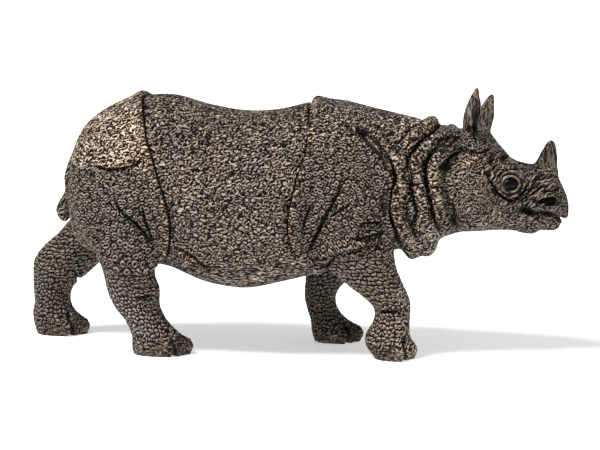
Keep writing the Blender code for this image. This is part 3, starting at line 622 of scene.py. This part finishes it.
def shape_feet(skin):
    """Clefts between the toes, straight out from the middle of each foot."""
    for name, (axis, _) in LEGS.items():
        _, along, across = axis[0]
        half_length, half_width = FOOT_SIZES[name]
        x, y = skin.x - along, skin.y - across
        for angle in CLEFT_ANGLES:
            out = np.array([half_length * math.cos(angle), half_width * math.sin(angle)])
            reach = np.linalg.norm(out)
            ahead = (x * out[0] + y * out[1]) / reach
            aside = (x * out[1] - y * out[0]) / reach
            share = smoothstep((ahead / reach - 0.4) / 0.3) * smoothstep(reach + 3 - ahead)
            share *= smoothstep((CLEFT_TOP - skin.z) / 2.5)
            close = np.where((share > 0) & (np.abs(aside) < 5 * CLEFT_WIDTH))[0]
            aside, share = aside[close], share[close]
            skin.height[close] -= CLEFT_DEPTH * bell(aside, CLEFT_WIDTH) * share
            note_crease(skin, close, aside, CLEFT_LINE, share)


def sculpt(skin):
    """Cuts the folds and the small forms of the head and feet."""
    for profile, rise, width, tan, raised, where, guide in FOLDS:
        for course in skin.courses(guide, where):
            carve(skin, course, profile, rise, width, tan, raised)
    shape_feet(skin)
    shape_jaw(skin)
    for side in (NEAR, FAR):
        for swell in SWELLS:
            shape_swell(skin, *swell, side)
        shape_eye(skin, side)
        for pit in PITS.values():
            shape_pit(skin, *pit, side)


def guide_at(guide, heights):
    """Where along the animal a guide runs at each height."""
    along, up = np.array(guide)[::-1].T
    order = np.argsort(up)
    return np.interp(heights, up[order], along[order])


def map_legs(skin):
    """1 on the plated part of the legs, 1 on the nails, and the hide of the legs laid flat."""
    plated = np.zeros(skin.count)
    nails = np.zeros(skin.count)
    wound = np.zeros((skin.count, 3))
    for name, (axis, top) in LEGS.items():
        heights, along, across = np.array(axis).T
        x = skin.x - np.interp(skin.z, heights, along)
        y = skin.y - np.interp(skin.z, heights, across)
        leg = smoothstep((LEG_REACH + 2 - np.hypot(x, y)) / 2) * smoothstep((top - skin.z) / 2 + 0.5)
        angle = np.arctan2(y, x)
        leg *= smoothstep((math.pi - np.abs(angle)) * LEG_RADIUS)
        mine = leg > plated
        wound[mine] = np.column_stack([angle * LEG_RADIUS, skin.z, np.zeros(skin.count)])[mine]
        plated = np.maximum(plated, leg)
        half_length, half_width = FOOT_SIZES[name]
        for toe in NAIL_ANGLES:
            toe_x = along[0] + half_length * math.cos(toe)
            toe_y = across[0] + half_width * math.sin(toe)
            away = np.hypot(skin.x - toe_x, skin.y - toe_y)
            nail = smoothstep((NAIL_RADIUS - away) / NAIL_EDGE)
            nails = np.maximum(nails, nail * smoothstep((NAIL_TOP - skin.z) / NAIL_EDGE))
    return plated, nails, wound


def find_regions(skin, plated, nails):
    """The regions of the hide by name, each 1 where it is and 0 elsewhere."""
    x, y, z = skin.points.T
    off_legs = 1 - plated
    ridge, rump_edge = guide_at(SHOULDER_RIDGE, z), guide_at(RUMP_RIDGE, z)
    front = np.minimum(guide_at(SHOULDER_FRONT, z), NECK_FROM)
    shoulder = window(x, ridge + 1.2, front, 1.5) * window(z, 26.0, 57.0, 5.0)
    thigh = smoothstep((rump_edge - 1.2 - x) / 1.5 + 0.5) * window(z, 20.0, 50.5, 2.5)
    head = smoothstep((x - HEAD_FROM) / 3)
    neck = smoothstep((x - NECK_FROM) / 2) * (1 - head)
    horn = smoothstep((z - HORN_HEIGHT) / 3) * smoothstep(x - HORN_FROM)
    ears = smoothstep((z - EAR_HEIGHT) / 1.5) * window(x, 40, 56, 2)
    return {
        "rosettes": np.maximum(shoulder, thigh) * smoothstep((np.abs(y) - 6) / 4) * off_legs,
        "plated": plated,
        "nails": nails,
        "feet": plated * smoothstep((FOOT_TOP - z) / 2),
        # Inner sides of the legs, for painted shade
        "shaded inner legs": plated * smoothstep(-np.sign(y) * skin.normals[:, 1] / 0.6),
        "belly": smoothstep((-skin.normals[:, 2] - 0.45) / 0.3) * window(x, -33, 26, 4) * off_legs,
        # Top of the rump, for painted light and tan paint
        "rump": smoothstep((rump_edge - x) / 3) * smoothstep((z - RUMP_HEIGHT) / 3),
        "neck": neck,
        "head": head,
        "smooth": np.maximum(head, neck),
        "muzzle": smoothstep((x - MUZZLE_FROM) / 4),
        "horn": horn,
        "ears": ears,
        "horn or ears": np.maximum(horn, ears),
        "folds": skin.folded[:, 2],
    }


def unrolled(skin):
    """The hide of the body laid flat: along the animal, and down from the spine on either side."""
    along, height, radius = np.array(HIDE_AXIS).T
    angle = np.arctan2(skin.y, skin.z - np.interp(skin.x, along, height))
    down = -np.abs(angle) * np.interp(skin.x, along, radius)
    return np.column_stack([skin.x, down, np.zeros(skin.count)])


def blended(start, regions, layers):
    """The start value, with the value of each region laid over it in turn."""
    for name, value in layers.items():
        start = start + (value - start) * regions[name]
    return start


def map_hide(skin):
    """Keeps what texture and paint each place takes as attributes of the skin.

    Gives the depth of the relief pressed into the skin.
    """
    plated, nails, wound = map_legs(skin)
    regions = find_regions(skin, plated, nails)
    from_eye = np.hypot(skin.x - EYE[0], skin.z - EYE[1])
    off_eye = smoothstep((from_eye - BALL) / 1.5) * smoothstep((skin.z - SOLE) / 0.8)
    low_flank = smoothstep((LOW_FLANK_TOP - skin.z) / 16)
    soles = smoothstep((1.2 - skin.z) / 1.2) * regions["feet"]
    for name in ("rosettes", "plated", "belly", "head"):
        skin.store(name, regions[name])
    for name, values in {
        "rest": skin.points,
        "laid": unrolled(skin),
        "wound": wound,
        "folded": skin.folded,
        "horn": regions["horn or ears"],
        "cellular": blended(0.2 + 0.25 * low_flank, regions, CELLULAR),
        "bold": blended(1.0, regions, BOLD) * off_eye,
        "faint": blended(0.0, regions, FAINT),
        # The tone holds painted light: lighter on top of the rump and on lids and swells, painted shade
        # on the inner legs
        "tone": blended(1.0, regions, TONE) * (1 + skin.light),
        # Dark wash and painted shade, also darker towards the soles of the feet
        "wash_and_shade": np.maximum(skin.wash_and_shade, 0.5 * soles),
        "crease": skin.crease,
        "creased": skin.creased,
        "tan": np.clip(skin.tan + 0.3 * regions["rump"] + 0.2 * regions["feet"], 0, 1),
    }.items():
        skin.store(name, values)
    return blended(FLANK_DEPTH, regions, DEPTH) * off_eye


class Web:
    """Adds linked nodes to a shader tree or a geometry tree."""

    def __init__(self, tree):
        self.tree = tree

    def add(self, kind, inputs, output=0, **settings):
        """A node with its settings, its inputs by name or place, and the output asked for."""
        node = self.tree.nodes.new(kind)
        for name, value in settings.items():
            setattr(node, name, value)
        for key, value in inputs.items():
            socket = node.inputs[key]
            if isinstance(value, bpy.types.NodeSocket):
                self.tree.links.new(value, socket)
            else:
                socket.default_value = value
        return node.outputs[output]

    def read(self, name, vector=False):
        """A named attribute of the skin."""
        if self.tree.type == "GEOMETRY":
            kind = "FLOAT_VECTOR" if vector else "FLOAT"
            return self.add("GeometryNodeInputNamedAttribute", {"Name": name}, data_type=kind)
        output = "Vector" if vector else "Fac"
        return self.add("ShaderNodeAttribute", {}, output, attribute_name=name)

    def math(self, operation, a, b=0.0, c=0.0, clamp=False):
        """A sum on numbers."""
        inputs = {0: a, 1: b, 2: c}
        return self.add("ShaderNodeMath", inputs, operation=operation, use_clamp=clamp)

    def vector(self, operation, a, b):
        """A sum on vectors."""
        return self.add("ShaderNodeVectorMath", {0: a, 1: b}, operation=operation)

    def ramp(self, value, low, high, to_low=0.0, to_high=1.0):
        """A soft rise of the value from one range to another."""
        inputs = {
            "Value": value, "From Min": low, "From Max": high, "To Min": to_low, "To Max": to_high,
        }
        return self.add("ShaderNodeMapRange", inputs, interpolation_type="SMOOTHSTEP")

    def mix(self, share, a, b):
        """One number over another, by the share given."""
        return self.add("ShaderNodeMix", {"Factor": share, "A": a, "B": b}, "Result", data_type="FLOAT")

    def noise(self, place, scale, detail=2.0, output=0):
        """Soft noise with the given waves a millimetre."""
        inputs = {"Vector": place, "Scale": scale, "Detail": detail, "Roughness": 0.6}
        return self.add("ShaderNodeTexNoise", inputs, output)

    def shaken(self, name, scale, amount, shift=(0.0, 0.0, 0.0)):
        """The place in a named attribute, drifted at random by up to half the amount, and shifted."""
        drift = self.noise(self.read("rest", vector=True), scale, 0.0, "Color")
        drift = self.vector("MULTIPLY", self.vector("SUBTRACT", drift, (0.5, 0.5, 0.5)), amount)
        place = self.vector("ADD", self.read(name, vector=True), drift)
        return self.vector("ADD", place, shift)

    def grain(self, place):
        """A winding grain, spread over the whole range from 0 to 1."""
        wave = self.noise(place, GRAIN_WAVES, 0.0)
        return self.math("MULTIPLY_ADD", wave, 1.667, -0.333, clamp=True)

    def cells(self, place, size, feature):
        """Distance from the middle of the first or second nearest cell, in cells."""
        inputs = {"Vector": self.vector("DIVIDE", place, size), "Scale": 1.0, "Randomness": LOOSE}
        settings = {"feature": feature, "voronoi_dimensions": "2D"}
        return self.add("ShaderNodeTexVoronoi", inputs, "Distance", **settings)

    def bumps(self, place, size, slope):
        """Domed bumps of the given size with cracks between them, in slopes of the given width."""
        second, first = self.cells(place, size, "F2"), self.cells(place, size, "F1")
        apart = self.ramp(self.math("SUBTRACT", second, first), 0.0, slope)
        return self.math("MULTIPLY", apart, self.ramp(first, 0.75, 0.0, 0.5, 1.0))


def off_side(web, place, centre):
    """How far a place is from a centre on either side of the head."""
    away = web.vector("SUBTRACT", place, (centre[0], 0.0, centre[1]))
    flat = web.vector("MULTIPLY", away, (1.0, 0.0, 1.05))
    return web.add("ShaderNodeVectorMath", {0: flat}, "Value", operation="LENGTH")


def rings(web, place, centre, spacing):
    """Wrinkles that run round a centre, broken up along their length."""
    along = web.add("ShaderNodeSeparateXYZ", {0: place}, "X")
    up = along.node.outputs["Z"]
    away = web.math("DIVIDE", off_side(web, place, centre), spacing)
    inputs = {0: away, 1: web.math("MULTIPLY", along, RUN_ON), 2: web.math("MULTIPLY", up, RUN_ON)}
    return web.grain(web.add("ShaderNodeCombineXYZ", inputs))


def rosette(web, shift_to_light):
    """Height of the ring of the nearest rosette, and 1 inside its rim."""
    laid = web.shaken("laid", 0.25, (1.2, 1.2, 0.0), (0.0, shift_to_light, 0.0))
    from_dot = web.cells(laid, ROSETTE, "F1")
    ring = web.math("MULTIPLY", web.ramp(from_dot, 0.06, 0.15), web.ramp(from_dot, 0.40, 0.30))
    return ring, web.math("MULTIPLY", web.ramp(from_dot, 0.50, 0.44), web.read("rosettes"))


def coarse_relief(web, shift_to_light=0.0):
    """Height of the hide's pebbles, rosettes, plates and strands, from 0 in cracks to 1 on tops."""
    laid = web.shaken("laid", 0.6, (1.5, 1.5, 0.0), (0.0, shift_to_light, 0.0))
    ring, inside = rosette(web, shift_to_light)
    height = web.mix(inside, web.bumps(laid, PEBBLE, 0.4), ring)
    wound = web.shaken("wound", 0.6, (0.8, 0.8, 0.0), (0.0, shift_to_light, 0.0))
    height = web.mix(web.read("plated"), height, web.bumps(wound, PLATE, 0.3))
    folds = web.add("ShaderNodeSeparateXYZ", {0: web.read("folded", vector=True)}, "Z")
    folded = web.shaken("folded", 0.8, (1.0, 1.0, 0.0), (0.0, shift_to_light, 0.0))
    height = web.mix(folds, height, web.bumps(folded, WELT_CELL, 0.45))
    strands = web.noise(web.vector("DIVIDE", web.read("rest", vector=True), HORN_STRAND), 1.0)
    return web.mix(web.read("horn"), height, web.ramp(strands, 0.38, 0.6))


def full_relief(web, shift_to_light=0.0):
    """The coarse relief with the winding grain, drawn out on the belly and in rings on the head."""
    rest = web.read("rest", vector=True)
    place = web.shaken("rest", 0.6, (1.5, 1.5, 1.5), (-0.4 * shift_to_light, 0.0, shift_to_light))
    grain = web.grain(place)
    for region, size in (("belly", STREAK), ("head", FINER)):
        grain = web.mix(web.read(region), grain, web.grain(web.vector("DIVIDE", place, size)))
    for centre, spacing, middle, reach, strength in RINGS:
        near = web.ramp(off_side(web, rest, middle), reach, 0.6 * reach, 0.0, strength)
        grain = web.mix(near, grain, rings(web, place, centre, spacing))
    grain = web.mix(web.ramp(off_side(web, rest, EYE), 4.0, 3.2, 0.0, 0.5), grain, 0.55)
    _, inside = rosette(web, shift_to_light)
    return web.mix(web.mix(inside, web.read("cellular"), 0.67), grain, coarse_relief(web, shift_to_light))


def pressed_relief(skin, depth):
    """Presses the texture into the skin, and keeps it in the solid's box with flat soles."""
    tree = bpy.data.node_groups.new("hide_relief", "GeometryNodeTree")
    tree.interface.new_socket("Geometry", in_out="INPUT", socket_type="NodeSocketGeometry")
    tree.interface.new_socket("Geometry", in_out="OUTPUT", socket_type="NodeSocketGeometry")
    web = Web(tree)
    source = tree.nodes.new("NodeGroupInput").outputs[0]
    inputs = {"Geometry": source, "Name": "relief", "Value": coarse_relief(web)}
    stored = web.add("GeometryNodeStoreNamedAttribute", inputs, data_type="FLOAT", domain="POINT")
    tree.links.new(stored, tree.nodes.new("NodeGroupOutput").inputs[0])
    piece = as_object(skin.mesh, "skin")
    piece.modifiers.new("relief", "NODES").node_group = tree
    mesh = carried_out(piece)
    bpy.data.node_groups.remove(tree)

    relief = np.empty(skin.count)
    mesh.attributes["relief"].data.foreach_get("value", relief)
    points = skin.points + skin.normals * (skin.height + (relief - 1) * depth)[:, None]
    points[points[:, 2] < SOLE, 2] = 0.0
    low, high = (np.array(DRAWN_FROM_FRAME @ corner) for corner in (LOW, HIGH))
    points = np.clip(points, low, high)
    mesh.vertices.foreach_set("co", points.ravel())
    mesh.update()
    return mesh


def thinned(mesh):
    """The skin with no more triangles than it may have, back in the frame's metres."""
    piece = as_object(mesh, "skin")
    thin = piece.modifiers.new("thin", "DECIMATE")
    thin.use_collapse_triangulate = True
    mesh.calc_loop_triangles()
    thin.ratio = MOST_TRIANGLES / len(mesh.loop_triangles)
    mesh = carried_out(piece)
    mesh.transform(DRAWN_FROM_FRAME.inverted())
    mesh.shade_smooth()
    return mesh


def note_hollows(mesh):
    """How closed in each vertex is, from 0 in the open to 1 in a deep hollow, as an attribute for
    painted shade.
    """
    random = np.random.default_rng(7)
    rays = random.normal(size=(HOLLOW_RAYS, 3))
    rays /= np.linalg.norm(rays, axis=1)[:, None]
    rays = [Vector(ray) for ray in rays]
    whole = bmesh.new()
    whole.from_mesh(mesh)
    tree = BVHTree.FromBMesh(whole)
    whole.free()
    occlusion_shade = np.empty(len(mesh.vertices))
    for index, vertex in enumerate(mesh.vertices):
        normal = Vector(vertex.normal)
        start = vertex.co + normal * HOLLOW_LIFT
        shut = total = 0.0
        for ray in rays:
            facing = ray.dot(normal)
            ray = ray if facing > 0 else -ray
            total += abs(facing)
            if tree.ray_cast(start, ray, HOLLOW_REACH)[0]:
                shut += abs(facing)
        occlusion_shade[index] = shut / total
    attribute = mesh.attributes.new("occlusion_shade", "FLOAT", "POINT")
    attribute.data.foreach_set("value", occlusion_shade.astype(np.float32))


def mix_colour(web, share, a, b):
    """One colour over another, by the share given."""
    inputs = {"Factor": share, "A": a, "B": b}
    return web.add("ShaderNodeMix", inputs, 2, data_type="RGBA")


def paint_by_height(web, height):
    """Near-black wash and painted shade in the cracks, brown on the slopes, dry-brushed beige and
    painted highlight on the tops.
    """
    paint = web.add("ShaderNodeValToRGB", {"Fac": height}, "Color")
    ramp = paint.node.color_ramp
    while len(ramp.elements) < len(PAINT):
        ramp.elements.new(0.5)
    for element, (position, colour) in zip(ramp.elements, PAINT):
        element.position = position
        element.color = (*colour, 1.0)
    return paint


def dry_brush_and_painted_light(web, relief):
    """How light the paint is at each place: most on tops, dry-brushed and partly a painted highlight,
    with a painted highlight on the side of each bump towards the light and painted shade on the side
    away from it.
    """
    # The relief shifted up towards the key light: where it lies lower, this side of a bump gets a
    # painted highlight
    lit_side = web.math("SUBTRACT", relief, full_relief(web, LIT_SIDE_SHIFT))
    grit = web.noise(web.read("rest", vector=True), GRIT_WAVES, 1.0)
    grit = web.ramp(grit, 0.3, 0.7, -0.10, 0.10)
    brush_and_light = web.math("MULTIPLY_ADD", web.ramp(relief, 0.24, 0.62), 0.6, grit)
    brush_and_light = web.math("MULTIPLY_ADD", lit_side, 1.45, web.math("ADD", brush_and_light, 0.06))
    return web.mix(web.read("faint"), brush_and_light, 0.58)


def toned(web, colour):
    """The colour with each region's tone, with painted shade in hollows, in warm and cool patches and
    with tan. The tones hold painted light on top of the rump, on lids and swells, and painted shade on
    the inner legs.
    """
    rest = web.read("rest", vector=True)
    tone = web.ramp(web.noise(rest, PATCH_WAVES, 3.0), 0.3, 0.7, 0.9, 1.1)
    tone = web.math("MULTIPLY", web.read("tone"), tone)
    # Painted shade: darker the more closed in a place is
    tone = web.math("MULTIPLY", tone, web.ramp(web.read("occlusion_shade"), 0.15, 0.85, 1.08, 0.35))
    colour = web.add("ShaderNodeVectorMath", {0: colour, "Scale": tone}, operation="SCALE")
    warm, cool = web.vector("MULTIPLY", colour, WARM), web.vector("MULTIPLY", colour, COOL)
    colour = mix_colour(web, web.ramp(web.noise(rest, TINT_WAVES), 0.4, 0.6), cool, warm)
    return mix_colour(web, web.read("tan"), colour, web.vector("MULTIPLY", colour, TAN))


def wash_and_painted_shade(web, line, from_eye):
    """Where the dark wash and painted shade go: in pits, in creases, in a ring round the eyeball, in
    the crease between the lids and towards the soles.
    """
    wash_and_shade = web.math("MULTIPLY", web.math("MAXIMUM", web.read("wash_and_shade"), line), 0.95, clamp=True)
    socket = web.math("MULTIPLY", web.ramp(from_eye, 2.1, 1.75), 0.8)
    drift = web.noise(web.read("rest", vector=True), 0.6)
    from_crease = web.math("MULTIPLY_ADD", drift, LID_DRIFT, from_eye)
    from_crease = web.math("SUBTRACT", from_crease, LID_CREASE + 0.5 * LID_DRIFT)
    lid_crease = web.ramp(web.math("ABSOLUTE", from_crease), 0.35, 0.1)
    return web.math("MAXIMUM", wash_and_shade, web.math("MAXIMUM", socket, lid_crease))


def painted_hide():
    """Matte grey-brown paint that follows the relief, with painted shade in its cracks, creases and
    hollows and painted highlights on its tops and lit sides, tan on the ridges, with a wet black eye.
    """
    material = bpy.data.materials.new("painted_hide")
    material.use_nodes = True
    web = Web(material.node_tree)
    shader = material.node_tree.nodes["Principled BSDF"]
    relief = full_relief(web)
    # Dark lines of wash and painted shade in the creases
    line = web.ramp(web.math("ABSOLUTE", web.read("crease")), 1.4, 0.4)
    line = web.math("MULTIPLY", line, web.read("creased"))
    from_eye = off_side(web, web.read("rest", vector=True), EYE)
    eye = web.ramp(from_eye, BALL + 0.05, BALL - 0.15)

    colour = toned(web, paint_by_height(web, dry_brush_and_painted_light(web, relief)))
    # Dark wash and painted shade in pits, creases, round the eyeball and towards the soles
    colour = mix_colour(web, wash_and_painted_shade(web, line, from_eye), colour, WASH_AND_SHADE_COLOUR)
    colour = mix_colour(web, eye, colour, EYE_BLACK)
    roughness = web.mix(eye, web.ramp(relief, 0.0, 1.0, 0.8, 0.6), 0.12)
    raised = web.math("MULTIPLY", relief, web.math("MULTIPLY", web.read("bold"), EMBOSSED))
    raised = web.math("MULTIPLY_ADD", line, -0.8, raised)
    bump = web.add("ShaderNodeBump", {"Strength": 1.0, "Distance": MM, "Height": raised}, "Normal")
    for name, value in {"Base Color": colour, "Roughness": roughness, "Normal": bump}.items():
        web.tree.links.new(value, shader.inputs[name])
    shader.inputs["Specular IOR Level"].default_value = 0.15
    return material


def build_figure():
    """The painted figure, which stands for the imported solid."""
    skin = Skin(fine_skin(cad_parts["rhinoceros"]))
    sculpt(skin)
    depth = map_hide(skin)
    mesh = thinned(pressed_relief(skin, depth))
    note_hollows(mesh)
    mesh.name = "rhinoceros_hide"
    mesh.materials.clear()
    mesh.materials.append(painted_hide())
    figure = as_object(mesh, "rhinoceros_hide")
    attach(figure, "root")
    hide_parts("rhinoceros")


def build_floor():
    """A plain white floor, faintly lit from below."""
    bpy.ops.mesh.primitive_plane_add(size=FLOOR_SIZE)
    floor = bpy.context.object
    floor.name = "floor"
    material = bpy.data.materials.new("floor")
    material.use_nodes = True
    shader = material.node_tree.nodes["Principled BSDF"]
    shader.inputs["Base Color"].default_value = (0.93, 0.93, 0.93, 1.0)
    shader.inputs["Roughness"].default_value = 0.9
    shader.inputs["Emission Color"].default_value = (1.0, 1.0, 1.0, 1.0)
    shader.inputs["Emission Strength"].default_value = FLOOR_GLOW
    floor.data.materials.append(material)


def add_sun(name, azimuth, elevation, strength, spread):
    """Soft light from one side, as even over the floor as a large studio panel."""
    light = bpy.data.lights.new(name, "SUN")
    light.energy = strength
    light.angle = math.radians(spread)
    lamp = bpy.data.objects.new(name, light)
    a, e = math.radians(azimuth), math.radians(elevation)
    towards = Vector((math.sin(a) * math.cos(e), -math.cos(a) * math.cos(e), math.sin(e)))
    lamp.rotation_mode = "QUATERNION"
    lamp.rotation_quaternion = towards.to_track_quat("Z", "Y")
    bpy.context.scene.collection.objects.link(lamp)


def light_studio():
    """Two soft lights in a white surround."""
    for name, setting in LIGHTS.items():
        add_sun(name, *setting)
    world = bpy.data.worlds.new("surround")
    bpy.context.scene.world = world
    world.use_nodes = True
    background = world.node_tree.nodes["Background"]
    background.inputs["Color"].default_value = (1.0, 1.0, 1.0, 1.0)
    background.inputs["Strength"].default_value = SURROUND
    bpy.context.scene.view_settings.view_transform = "Standard"


def place_camera():
    """The photograph's viewpoint, from a little in front of the near side."""
    data = bpy.data.cameras.new("camera")
    data.sensor_width = SENSOR
    data.lens = SENSOR * PIXELS_A_MM * CAMERA_DISTANCE / FRAME_WIDTH
    camera = bpy.data.objects.new("camera", data)
    back = Vector((
        math.sin(AZIMUTH) * math.cos(ELEVATION),
        -math.cos(AZIMUTH) * math.cos(ELEVATION),
        math.sin(ELEVATION),
    ))
    aim = DRAWN_FROM_FRAME.inverted() @ CAMERA_AIM
    camera.location = aim + back * CAMERA_DISTANCE * MM
    camera.rotation_mode = "QUATERNION"
    camera.rotation_quaternion = (-back).to_track_quat("-Z", "Y")
    bpy.context.scene.collection.objects.link(camera)
    bpy.context.scene.camera = camera


build_figure()
build_floor()
light_studio()
place_camera()
